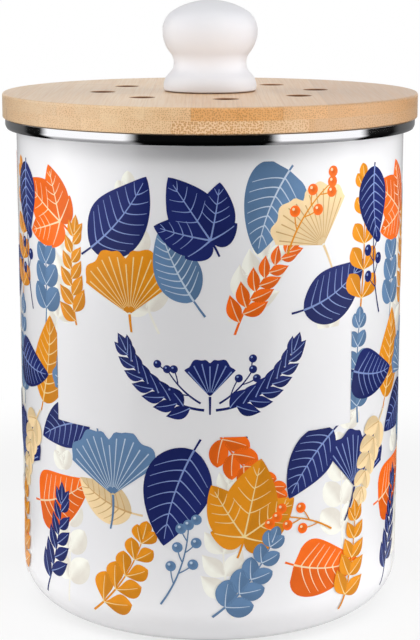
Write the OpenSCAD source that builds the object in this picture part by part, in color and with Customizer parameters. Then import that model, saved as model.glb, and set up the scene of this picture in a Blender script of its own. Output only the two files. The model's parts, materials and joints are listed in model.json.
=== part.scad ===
/* [Pail] */
// Outer radius of the enamelled wall
pail_r = 90; // [84:1:110]
// Height from the table to the top of the steel rim
pail_h = 229.8; // [200:0.1:280]
// Thickness of the enamelled steel
pail_wall = 1; // [0.8:0.1:1.6]
// Radius of the rounded corner at the foot
foot_corner_r = 19; // [12:1:22]
// Width of the flat ring that the pail stands on
foot_ring_w = 8; // [5:1:14]
// Height of the raised middle of the base
base_rise = 1.5; // [0.6:0.1:3]

/* [Steel rim] */
// How far the rim stands out from the wall
rim_stand = 5.1; // [4.6:0.1:8]
// Height of the rim's rounded bead
rim_bead_h = 4.3; // [3.8:0.1:5]
// Thickness of the rim's sheet
rim_t = 0.5; // [0.3:0.1:0.8]
// Height of the rim's inner skirt, from the top of the rim
rim_skirt_h = 8; // [6:0.5:12]
// Clearance between the rim and the pail's lip
rim_fit = 0.05; // [0.02:0.01:0.1]

/* [Lid board] */
// How far the lid reaches past the steel rim
lid_overhang = 1.14; // [0.2:0.02:4]
// Thickness of the lid board
lid_t = 11.2; // [8:0.1:18]
// Rounding of the board's upper edge
lid_edge_r = 1; // [0.4:0.1:3]
// Rounding of the board's lower edge
lid_under_r = 0.5; // [0.2:0.1:2]
// Gap between pieces that only rest on each other
seat_gap = 0.3; // [0.3:0.05:0.5]

/* [Vents] */
// Number of round vents
vent_count = 8; // [4:1:10]
// Radius of a vent
vent_r = 5.5; // [3:0.1:6.5]
// Radius of the circle that the vents stand on
vent_pitch_r = 50; // [36:1:52]
// Angle of the first vent
vent_start = 8; // [0:1:45]
// Chamfer round each vent's mouth
vent_chamfer = 0.6; // [0.2:0.1:1.2]

/* [Plug ring and seal] */
// Height of the plug ring under the board
plug_h = 14; // [12:0.5:20]
// Radial gap between the plug ring and the rim's skirt
plug_clear = 4.5; // [3:0.1:7]
// Width of the ledge that the filter's edge lies against
ledge_w = 4.5; // [3:0.5:5.5]
// Depth of the seal's groove
groove_d = 3; // [2:0.1:4]
// Height of the seal
seal_h = 5; // [4:0.1:6]
// Clearance of the seal in its groove
seal_fit = 0.05; // [0.02:0.01:0.1]
// Thickness of a seal fin at its tip
fin_t = 0.8; // [0.5:0.1:1.2]

/* [Knob] */
// Widest radius of the knob's ball
knob_r = 22.05; // [18:0.05:26]
// Height of the knob
knob_h = 41.7; // [39:0.1:50]
// Height of the ball's widest circle above the board
ball_z = 27.7; // [26.5:0.1:29]
// Radius of the rounding at the ball's upper shoulder
shoulder_r = 11; // [9:0.1:12]
// Radius of the rounding under the ball
belly_r = 16; // [14:0.1:18]
// Radius of the knob's foot
knob_foot_r = 21.6; // [20:0.1:26]
// Height of the knob's foot
knob_foot_h = 7.6; // [6.8:0.1:8.4]
// Smallest radius of the neck
neck_r = 16.85; // [14:0.05:17.5]
// Height of the neck's narrowest circle above the board
neck_z = 13.2; // [12.6:0.1:13.8]
// Radius of the neck's hollow
neck_hollow_r = 6.9; // [6.5:0.1:8]
// Rounding of the foot's lower edge
knob_edge_r = 2; // [1:0.1:2.6]

/* [Knob fastening] */
// Outer radius of the threaded insert
insert_r = 4.5; // [4:0.1:6]
// Length of the threaded insert
insert_l = 14; // [10:0.5:20]
// Radius of the knob screw
screw_r = 2.5; // [2:0.1:3]
// Radius of the knob screw's head
head_r = 4.75; // [4.2:0.05:6]
// Height of the knob screw's head
head_h = 3; // [2.4:0.1:3.6]
// Radius of the knob washer
washer_r = 6.5; // [6.2:0.1:9]
// Thickness of the knob washer
washer_t = 1; // [0.6:0.1:1.4]
// Radial clearance between a fastener and what it passes through
screw_clear = 0.05; // [0.02:0.01:0.1]

/* [Filter] */
// Radius of the charcoal filter
filter_r = 63; // [61:0.5:66]
// Thickness of the charcoal filter
filter_t = 8; // [5:0.5:9]
// Radial clearance round the filter
filter_clear = 0.5; // [0.3:0.1:1]

/* [Turn clips] */
// Width of a turn clip
clip_w = 12; // [9:0.5:13]
// Distance from a clip's screw to its tip
clip_reach = 19; // [16:0.5:22]
// Thickness of a turn clip
clip_t = 1.2; // [0.8:0.1:2]
// Radius of a clip screw
clip_screw_r = 1.75; // [1.5:0.05:2.2]
// Depth of a clip screw in the wood
clip_screw_l = 10; // [8:0.5:11.5]
// Radius of a clip screw's head
clip_head_r = 3.4; // [3:0.1:4]
// Height of a clip screw's head
clip_head_h = 2; // [1.4:0.1:2.6]
// Radius of a clip washer
clip_washer_r = 4; // [3.4:0.1:4.4]
// Thickness of a clip washer
clip_washer_t = 0.5; // [0.3:0.1:1]

/* [Inner bucket] */
// Wall thickness of the inner bucket
liner_wall = 1.6; // [1.2:0.1:2.2]
// Radial gap between the bucket's flange and the rim's skirt
liner_clear = 3.5; // [2.5:0.1:6]
// Width of the bucket's flange
flange_w = 8.5; // [8.2:0.1:11]
// Height of the hem under the flange's edge
hem_h = 5; // [3:0.5:10]
// How much smaller the bucket's radius is at its floor
liner_taper = 4; // [1:0.5:10]
// Rounding of the bucket's foot
liner_corner_r = 8; // [5:0.5:12]
// Room between the bucket's ears and the lid's clip screws
liner_headroom = 2.5; // [2:0.1:6]
// Thickness of an ear that holds the handle
ear_t = 2.2; // [1.6:0.1:2.6]
// Radius of an ear's rounded top
ear_r = 5; // [4.4:0.1:6]

/* [Bail handle] */
// Distance from the flange's edge to the middle of the bail's bar
bail_inset = 3; // [2.8:0.1:3.4]
// Width of the bail's bar
bail_w = 4; // [3:0.1:4.4]
// Thickness of the bail's bar
bail_t = 4.4; // [3:0.1:6]
// Radius of the bail's round ends and of its grip
bail_end_r = 3.9; // [3.5:0.1:4.3]
// Angle that the grip spans
grip_angle = 64; // [40:2:100]
// Radius of the pegs that the bail turns on
peg_r = 2; // [1.6:0.1:2.4]
// Radius of a peg's head
peg_head_r = 2.8; // [2.6:0.1:3.2]
// Thickness of a peg's head
peg_head_t = 1.2; // [0.8:0.1:1.6]
// Radial clearance of a peg in its ear
peg_play = 0.05; // [0.02:0.01:0.1]

/* [Hidden] */

$fn = 96;
cut = 1; // how far a cutting shape runs past the face that it cuts

// Lip and steel rim
bead_r = rim_bead_h / 2;
bead_x = pail_r + rim_stand - bead_r;
bead_z = pail_h - bead_r;
lip_r = bead_r - rim_t - rim_fit;
pail_in_r = pail_r - pail_wall;
skirt_out_r = pail_in_r - rim_fit;
skirt_in_r = skirt_out_r - rim_t;
skirt_z = pail_h - rim_skirt_h;
rim_corner_r = 2 * rim_t;
rim_corner_x = skirt_in_r + rim_corner_r;

// Foot
foot_in_r = pail_r - foot_corner_r - foot_ring_w;
floor_z = pail_wall + base_rise;

// Lid board
lid_r = pail_r + rim_stand + lid_overhang;
lid_z = pail_h + seat_gap;
lid_top = lid_z + lid_t;

// Plug ring, seal and filter
plug_r = skirt_in_r - plug_clear;
plug_z = lid_z - plug_h;
seat_r = filter_r + filter_clear;
ledge_r = filter_r - ledge_w;
groove_r = plug_r - groove_d;
seal_z = skirt_z + (rim_skirt_h - seal_h) / 2;
seal_tip_r = skirt_in_r - seat_gap;
seal_body_r = plug_r + seal_fit + fin_t;

// Turn clips, which hang under the plug ring
CLIP_ANGLES = [90, 210, 330];
clip_pivot_r = (seat_r + groove_r) / 2;
clip_washer_z = plug_z - clip_washer_t;
clip_z = clip_washer_z - seat_gap - clip_t;
clip_head_z = clip_z - seat_gap - clip_head_h;
filter_z = clip_z + clip_t + seat_gap;
ledge_z = filter_z + filter_t + seat_gap;

// Knob
crown_h = knob_h - ball_z;
shoulder_x = knob_r - shoulder_r;
belly_x = knob_r - belly_r;
crown_r = (shoulder_x * shoulder_x + crown_h * crown_h - shoulder_r * shoulder_r)
    / (2 * (crown_h - shoulder_r));
foot_round_r = knob_foot_h / 2;
neck_block_r = neck_r + neck_hollow_r / 3; // where the hollow's arc begins and ends
end_gap = 1; // from the insert to the end of its hole, and from the screw's tip to the insert's end
washer_z = lid_z - washer_t;
head_z = washer_z - head_h;

// Inner bucket and bail
flange_r = skirt_in_r - liner_clear;
pivot_rise = bail_end_r + seat_gap;
flange_z = clip_head_z - liner_headroom - ear_r - pivot_rise;
pivot_z = flange_z + pivot_rise;
liner_z = floor_z + seat_gap;
liner_h = flange_z - liner_z;
liner_top_r = flange_r - flange_w + liner_wall;
liner_foot_r = liner_top_r - liner_taper;
bail_r = flange_r - bail_inset;
ear_out_x = bail_r - bail_w / 2 - seat_gap;
ear_in_x = ear_out_x - ear_t;

// Copies of the children at each of the angles, at radius r
module around(angles, r = 0)
    for (a = angles)
        rotate([0, 0, a])
            translate([r, 0, 0])
                children();

// Half section of a round block whose foot has a corner of radius c
module footed_block(r, h, c) {
    square([r - c, h]);
    translate([0, c])
        square([r, h - c]);
    translate([r - c, c])
        circle(c);
}

// Half section of a disc with rounded edges, e1 below and e2 above
module edged_disc(r, h, e1, e2) {
    square([r - max(e1, e2), h]);
    translate([0, e1])
        square([r, h - e1 - e2]);
    square([r - e1, e1]);
    translate([0, h - e2])
        square([r - e2, e2]);
    translate([r - e1, e1])
        circle(e1);
    translate([r - e2, h - e2])
        circle(e2);
}

// Half section of a low dome with a sloping edge, over a round base of radius r
module low_dome(r, h)
    polygon([[0, 0], [r + h, 0], [r, h], [0, h]]);

// Half section of a drafted bucket shape: a corner of radius c rolls from the floor
// to a wall that leans out by rt - rb over the height h
module drafted_block(rb, rt, h, c) {
    lean = atan2(rt - rb, h);
    x = rb - c * (1 - sin(lean)) / cos(lean);
    polygon([
        [0, 0], [x, 0], [x + c * cos(lean), c * (1 - sin(lean))], [rt, h], [0, h]
    ]);
    translate([x, c])
        circle(c);
}

// Rounded rectangle about the origin
module round_rect(w, h, r) {
    square([w, h - 2 * r], center = true);
    square([w - 2 * r, h], center = true);
    for (x = [-1, 1], y = [-1, 1])
        translate([x * (w / 2 - r), y * (h / 2 - r)])
            circle(r);
}

// Section of the pail's curled lip, larger all round by grow
module lip_section(grow) {
    translate([bead_x, bead_z])
        circle(lip_r + grow);
    translate([pail_in_r - grow, bead_z - lip_r])
        square([bead_x - pail_in_r + grow, 2 * lip_r + grow]);
}

// White enamelled steel pail with a curled lip and a raised base
module enamel_pail()
    color("white")
        rotate_extrude() {
            difference() {
                footed_block(pail_r, bead_z, foot_corner_r);
                difference() {
                    translate([0, pail_wall])
                        footed_block(pail_in_r, pail_h, foot_corner_r - pail_wall);
                    translate([0, pail_wall])
                        low_dome(foot_in_r, base_rise);
                }
                low_dome(foot_in_r, base_rise);
            }
            lip_section(0);
        }

// Polished steel trim that wraps the lip and lines the mouth with a short skirt
module steel_rim()
    color("silver")
        rotate_extrude()
            difference() {
                union() {
                    translate([bead_x, bead_z])
                        circle(bead_r);
                    translate([rim_corner_x, bead_z])
                        square([bead_x - rim_corner_x, bead_r]);
                    translate([rim_corner_x, pail_h - rim_corner_r])
                        circle(rim_corner_r);
                    translate([skirt_in_r, skirt_z])
                        square([rim_corner_r, rim_skirt_h - rim_corner_r]);
                }
                translate([bead_x, bead_z])
                    circle(lip_r + rim_fit);
                translate([skirt_out_r, skirt_z - cut])
                    square([bead_x - skirt_out_r, pail_h - rim_t - skirt_z + cut]);
            }

// Round bamboo board with the ring of vents and the knob's screw hole
module bamboo_lid()
    color("burlywood")
        translate([0, 0, lid_z])
            difference() {
                rotate_extrude()
                    edged_disc(lid_r, lid_t, lid_under_r, lid_edge_r);
                around([for (i = [0 : vent_count - 1]) vent_start + i * 360 / vent_count],
                        vent_pitch_r) {
                    translate([0, 0, -cut])
                        cylinder(h = lid_t + 2 * cut, r = vent_r);
                    translate([0, 0, lid_t - vent_chamfer])
                        cylinder(h = vent_chamfer + cut, r1 = vent_r,
                            r2 = vent_r + vent_chamfer + cut);
                }
                translate([0, 0, -cut])
                    cylinder(h = lid_t + 2 * cut, r = screw_r + screw_clear);
            }

// Bamboo ring under the board: it centres the lid and holds seal, filter and clips
module plug_ring()
    color("tan")
        difference() {
            rotate_extrude()
                difference() {
                    translate([0, plug_z])
                        edged_disc(plug_r, plug_h, lid_edge_r, lid_under_r);
                    translate([0, plug_z - cut])
                        square([ledge_r, plug_h + 2 * cut]);
                    translate([0, plug_z - cut])
                        square([seat_r, ledge_z - plug_z + cut]);
                    translate([groove_r, seal_z - seal_fit])
                        square([groove_d + cut, seal_h + 2 * seal_fit]);
                }
            around(CLIP_ANGLES, clip_pivot_r)
                translate([0, 0, plug_z - cut])
                    cylinder(h = clip_screw_l + cut, r = clip_screw_r + screw_clear);
        }

// Silicone seal with two fins
module lid_seal()
    color("gainsboro")
        rotate_extrude() {
            translate([groove_r + seal_fit, seal_z])
                square([seal_body_r - groove_r - seal_fit, seal_h]);
            for (z = [seal_z, seal_z + seal_h - 2 * fin_t])
                polygon([
                    [seal_body_r - fin_t, z], [seal_tip_r, z + fin_t / 2],
                    [seal_tip_r, z + fin_t * 3 / 2], [seal_body_r - fin_t, z + 2 * fin_t]
                ]);
        }

// Half section of the knob: rounded foot, hollow neck and flattened ball
module knob_section() {
    // Foot, with a small rounding below and a full one above
    edged_disc(knob_foot_r, knob_foot_h, knob_edge_r, foot_round_r);
    // Neck
    difference() {
        translate([0, foot_round_r])
            square([neck_block_r, ball_z - foot_round_r]);
        translate([neck_r + neck_hollow_r, neck_z])
            circle(neck_hollow_r);
    }
    // Belly, below the ball's widest circle
    intersection() {
        translate([belly_x, ball_z])
            circle(belly_r);
        translate([0, neck_z])
            square([knob_r, ball_z - neck_z]);
    }
    // Shoulder and crown, which meet where their centres' line leaves the ball
    translate([shoulder_x, ball_z])
        circle(shoulder_r);
    intersection() {
        translate([0, knob_h - crown_r])
            circle(crown_r);
        polygon([
            [0, ball_z - shoulder_r], [shoulder_x, ball_z],
            [2 * shoulder_x, 2 * ball_z - knob_h + crown_r], [2 * shoulder_x, 2 * knob_h],
            [0, 2 * knob_h]
        ]);
    }
}

// White glazed knob with a blind hole for its insert
module knob()
    color("whitesmoke")
        translate([0, 0, lid_top])
            difference() {
                rotate_extrude()
                    intersection() {
                        knob_section();
                        square([2 * knob_r, knob_h]);
                    }
                translate([0, 0, -cut])
                    cylinder(h = insert_l + end_gap + cut, r = insert_r + screw_clear);
            }

// Brass insert that takes the knob screw
module knob_insert()
    color("goldenrod")
        translate([0, 0, lid_top])
            difference() {
                cylinder(h = insert_l, r = insert_r);
                translate([0, 0, -cut])
                    cylinder(h = insert_l + 2 * cut, r = screw_r + screw_clear);
            }

// Pan-head screw up through the board into the knob, with a cross slot in its head
module knob_screw()
    color("silver") {
        translate([0, 0, washer_z])
            cylinder(h = washer_t + lid_t + insert_l - end_gap, r = screw_r);
        difference() {
            translate([0, 0, head_z])
                rotate_extrude()
                    edged_disc(head_r, head_h, head_h / 2, head_h / 10);
            for (a = [0, 90])
                rotate([0, 0, a])
                    translate([-head_r / 2, -head_r / 8, head_z - cut])
                        cube([head_r, head_r / 4, head_h / 2 + cut]);
        }
    }

// Washer between the screw's head and the board
module knob_washer()
    color("lightgray")
        translate([0, 0, washer_z])
            difference() {
                cylinder(h = washer_t, r = washer_r);
                translate([0, 0, -cut])
                    cylinder(h = washer_t + 2 * cut, r = screw_r + screw_clear);
            }

// Charcoal felt disc under the vents
module carbon_filter()
    color("dimgray")
        translate([0, 0, filter_z])
            cylinder(h = filter_t, r = filter_r);

// Flat clip with round ends that turns about its screw; at rest it points inwards
module turn_clip(angle)
    color("silver")
        around([angle], clip_pivot_r)
            translate([0, 0, clip_z])
                difference() {
                    union() {
                        cylinder(h = clip_t, r = clip_w / 2);
                        translate([clip_w / 2 - clip_reach, -clip_w / 2, 0])
                            cube([clip_reach - clip_w / 2, clip_w, clip_t]);
                        translate([clip_w / 2 - clip_reach, 0, 0])
                            cylinder(h = clip_t, r = clip_w / 2);
                    }
                    translate([0, 0, -cut])
                        cylinder(h = clip_t + 2 * cut, r = clip_screw_r + screw_clear);
                }

module filter_clip_1() turn_clip(CLIP_ANGLES[0]);

module filter_clip_2() turn_clip(CLIP_ANGLES[1]);

module filter_clip_3() turn_clip(CLIP_ANGLES[2]);

// Screws that the clips turn on
module clip_screws()
    color("gray")
        around(CLIP_ANGLES, clip_pivot_r) {
            translate([0, 0, clip_z - seat_gap])
                cylinder(h = plug_z - clip_z + seat_gap + clip_screw_l, r = clip_screw_r);
            difference() {
                translate([0, 0, clip_head_z])
                    rotate_extrude()
                        edged_disc(clip_head_r, clip_head_h, clip_head_h / 2, clip_head_h / 10);
                translate([-clip_head_r - cut, -clip_head_r / 8, clip_head_z - cut])
                    cube([2 * clip_head_r + 2 * cut, clip_head_r / 4, clip_head_h / 3 + cut]);
            }
        }

// Washers that hold the clips off the wood
module clip_washers()
    color("lightgray")
        around(CLIP_ANGLES, clip_pivot_r)
            translate([0, 0, clip_washer_z])
                difference() {
                    cylinder(h = clip_washer_t, r = clip_washer_r);
                    translate([0, 0, -cut])
                        cylinder(h = clip_washer_t + 2 * cut, r = clip_screw_r + screw_clear);
                }

// Inner bucket with a flange, a hem under its edge and two ears for the bail
module inner_bucket()
    color("darkgray")
        difference() {
            union() {
                rotate_extrude()
                    translate([0, liner_z])
                        difference() {
                            union() {
                                drafted_block(liner_foot_r, liner_top_r, liner_h, liner_corner_r);
                                translate([0, liner_h - liner_wall])
                                    square([flange_r, liner_wall]);
                                translate([flange_r - liner_wall, liner_h - hem_h])
                                    square([liner_wall, hem_h]);
                            }
                            translate([0, liner_wall])
                                drafted_block(liner_foot_r - liner_wall, liner_top_r - liner_wall,
                                    liner_h, liner_corner_r - liner_wall);
                        }
                for (side = [0, 180])
                    rotate([0, 0, side])
                        bucket_ear();
            }
            translate([-flange_r, 0, pivot_z])
                rotate([0, 90, 0])
                    cylinder(h = 2 * flange_r, r = peg_r + peg_play);
        }

// Upright ear that stands on the flange
module bucket_ear() {
    translate([ear_in_x, -ear_r, flange_z - liner_wall])
        cube([ear_t, 2 * ear_r, pivot_rise + liner_wall]);
    translate([ear_in_x, 0, pivot_z])
        rotate([0, 90, 0])
            cylinder(h = ear_t, r = ear_r);
}

// Moulded bail: a half ring that lies on the flange, with a round grip and two pegs
module bail_handle()
    color("darkgray") {
        translate([0, 0, pivot_z]) {
            rotate_extrude(angle = 180, start = 180)
                translate([bail_r, 0])
                    round_rect(bail_w, bail_t, bail_t / 5);
            rotate_extrude(angle = grip_angle, start = 270 - grip_angle / 2)
                translate([bail_r, 0])
                    circle(bail_end_r);
        }
        for (side = [0, 180])
            rotate([0, 0, side])
                bail_end();
    }

// Round end of the bail and the peg that goes through the ear
module bail_end()
    translate([0, 0, pivot_z])
        rotate([0, 90, 0]) {
            translate([0, 0, bail_r - bail_w / 2])
                cylinder(h = bail_w, r = bail_end_r);
            translate([0, 0, ear_in_x - seat_gap])
                cylinder(h = bail_r - ear_in_x + seat_gap, r = peg_r);
            translate([0, 0, ear_in_x - seat_gap - peg_head_t])
                cylinder(h = peg_head_t, r = peg_head_r);
        }

enamel_pail();
steel_rim();
bamboo_lid();
plug_ring();
lid_seal();
knob();
knob_insert();
knob_screw();
knob_washer();
carbon_filter();
filter_clip_1();
filter_clip_2();
filter_clip_3();
clip_screws();
clip_washers();
inner_bucket();
bail_handle();
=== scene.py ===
# Kitchen caddy for compost: a white enamelled pail with a leaf print, a bamboo lid and a glazed knob
import json
import math
from functools import partial
import bmesh
import bpy
import numpy as np
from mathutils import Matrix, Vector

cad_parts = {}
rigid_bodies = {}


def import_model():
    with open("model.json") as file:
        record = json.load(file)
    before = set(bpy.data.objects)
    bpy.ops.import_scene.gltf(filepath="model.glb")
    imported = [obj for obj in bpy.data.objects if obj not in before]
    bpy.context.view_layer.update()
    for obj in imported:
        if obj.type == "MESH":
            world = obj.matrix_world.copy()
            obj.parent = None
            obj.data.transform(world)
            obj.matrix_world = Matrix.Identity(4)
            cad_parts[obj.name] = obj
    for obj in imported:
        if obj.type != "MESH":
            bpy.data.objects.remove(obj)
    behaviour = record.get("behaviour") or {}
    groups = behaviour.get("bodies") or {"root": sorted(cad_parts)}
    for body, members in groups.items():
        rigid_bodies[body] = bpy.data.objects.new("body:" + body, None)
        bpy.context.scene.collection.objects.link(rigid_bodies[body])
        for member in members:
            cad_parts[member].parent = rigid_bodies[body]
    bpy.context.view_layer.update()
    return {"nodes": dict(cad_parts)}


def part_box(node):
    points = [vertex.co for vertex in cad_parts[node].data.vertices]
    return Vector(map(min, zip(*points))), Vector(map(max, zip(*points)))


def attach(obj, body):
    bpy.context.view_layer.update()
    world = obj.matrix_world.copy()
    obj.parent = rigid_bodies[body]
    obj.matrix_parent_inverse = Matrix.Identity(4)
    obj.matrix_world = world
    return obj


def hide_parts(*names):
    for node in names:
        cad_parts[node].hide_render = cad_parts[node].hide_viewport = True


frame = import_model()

mm = 0.001


def treeOf(*values):
    return next(value.id_data for value in values if isinstance(value, bpy.types.NodeSocket))


def feed(target, value):
    # A socket given as the value is linked, anything else is written on the input
    if isinstance(value, bpy.types.NodeSocket):
        target.id_data.links.new(value, target)
    else:
        target.default_value = value


def setInputs(node, values):
    for name, value in values.items():
        feed(node.inputs[name], value)


def addNode(tree, kind, settings=None, sockets=None):
    node = tree.nodes.new("ShaderNode" + kind)
    for name, value in (settings or {}).items():
        setattr(node, name, value)
    setInputs(node, sockets or {})
    return node


def calc(operation, a, b=0.0):
    return addNode(treeOf(a, b), "Math", {"operation": operation}, {0: a, 1: b}).outputs[0]


def plus(a, b):
    return calc("ADD", a, b)


def minus(a, b):
    return calc("SUBTRACT", a, b)


def times(a, b):
    return calc("MULTIPLY", a, b)


def stretch(value, low, high, outLow=0.0, outHigh=1.0, smooth=True):
    # Value from low..high to outLow..outHigh, held at both ends
    kind = "SMOOTHSTEP" if smooth else "LINEAR"
    node = addNode(value.id_data, "MapRange", {"interpolation_type": kind}, {
        "Value": value, "From Min": low, "From Max": high, "To Min": outLow, "To Max": outHigh})
    return node.outputs["Result"]


def blendColour(factor, a, b, mode="MIX"):
    settings = {"data_type": "RGBA", "blend_type": mode}
    return addNode(treeOf(factor, a, b), "Mix", settings, {0: factor, 6: a, 7: b}).outputs[2]


def colourRamp(factor, stops):
    node = addNode(factor.id_data, "ValToRGB", None, {"Fac": factor})
    elements = node.color_ramp.elements
    while len(elements) < len(stops):
        elements.new(1.0)
    for element, (place, colour) in zip(elements, stops):
        element.position = place
    for element, (place, colour) in zip(elements, stops):
        element.color = colour
    return node.outputs["Color"]


def splitPoint(point):
    node = addNode(point.id_data, "SeparateXYZ", None, {"Vector": point})
    return node.outputs[0], node.outputs[1], node.outputs[2]


def joinPoint(x, y, z):
    return addNode(treeOf(x, y, z), "CombineXYZ", None, {"X": x, "Y": y, "Z": z}).outputs[0]


def axisAway(x, y):
    # Distance from the upright axis: the root of x * x + y * y
    return calc("SQRT", plus(times(x, x), times(y, y)))


def noise(point, scale, detail=2.0, roughness=0.5):
    node = addNode(point.id_data, "TexNoise", None, {
        "Vector": point, "Scale": scale, "Detail": detail, "Roughness": roughness})
    return node.outputs["Fac"]


def bump(height, depth, strength=1.0, below=None):
    node = addNode(height.id_data, "Bump", None, {"Height": height, "Distance": depth, "Strength": strength})
    if below is not None:
        feed(node.inputs["Normal"], below)
    return node.outputs["Normal"]


def newMaterial(name):
    material = bpy.data.materials.new(name)
    material.use_nodes = True
    tree = material.node_tree
    return material, tree.nodes["Principled BSDF"], addNode(tree, "TexCoord").outputs["Object"]


def grey(level):
    return (level, level, level, 1.0)


enamelLook = {"white": (0.885, 0.88, 0.893, 1), "shade": (0.865, 0.862, 0.88, 1), "cloudScale": 24,
              "peelScale": 330, "peelDepth": 0.000012,
              "gloss": {"Roughness": 0.16, "IOR": 1.52, "Coat Weight": 0.35, "Coat Roughness": 0.05}}


def makeEnamel(look):
    # Fired glass coat: faint clouding in the colour, an even gloss and a shallow orange peel
    material, shader, point = newMaterial("whiteEnamel")
    clouds = stretch(noise(point, look["cloudScale"], 3), 0.3, 0.7)
    peel = noise(point, look["peelScale"])
    wave = noise(point, look["peelScale"] / 9, 1)
    setInputs(shader, {
        **look["gloss"], "Base Color": blendColour(clouds, look["white"], look["shade"]),
        "Normal": bump(peel, look["peelDepth"], 1, bump(wave, look["peelDepth"] * 4))})
    return material


steelLook = {"colour": (0.86, 0.86, 0.88, 1), "hairScale": 2600, "hairTurn": 0.0012, "hairDepth": 0.0000007,
             "smearScale": 24, "roughness": (0.035, 0.07), "smear": 0.02}


def makePolishedSteel(look):
    # Spun trim: hair lines run round the axis, so the noise sees radius and height but hardly the angle
    material, shader, point = newMaterial("polishedSteel")
    x, y, z = splitPoint(point)
    angle = times(calc("ARCTAN2", x, y), look["hairTurn"])
    hair = noise(joinPoint(axisAway(x, y), angle, z), look["hairScale"], 3)
    smear = noise(point, look["smearScale"], 3)
    setInputs(shader, {
        "Base Color": look["colour"], "Metallic": 1.0,
        "Roughness": plus(stretch(hair, 0.3, 0.7, *look["roughness"]),
                          stretch(smear, 0.4, 0.7, 0.0, look["smear"])),
        "Normal": bump(hair, look["hairDepth"])})
    return material


bambooLook = {
    "strips": ((-0.06, (0.80, 0.565, 0.335, 1)), (-0.03, (0.90, 0.66, 0.405, 1)),
               (0.04, (0.83, 0.565, 0.325, 1)), (0.07, (0.60, 0.385, 0.22, 1))),
    "warm": (0.80, 0.38, 0.11, 1), "streak": (0.74, 0.44, 0.2, 1), "fibre": (0.40, 0.185, 0.07, 1),
    # cut: the dark brown painted as shade on the vent walls
    "pith": (0.98, 0.82, 0.62, 1), "seam": (0.42, 0.22, 0.09, 1), "cut": (0.2, 0.062, 0.012, 1),
    "stripWidth": 0.0192, "seamPlace": -0.008, "lowerShift": 0.43, "plyHeight": 0.0056, "fibreGap": 0.00094,
    "ventReach": 0.0602, "roughness": (0.36, 0.48), "reliefDepth": 0.00003,
    "varnish": {"IOR": 1.5, "Coat Weight": 0.5, "Coat Roughness": 0.3}}


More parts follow.
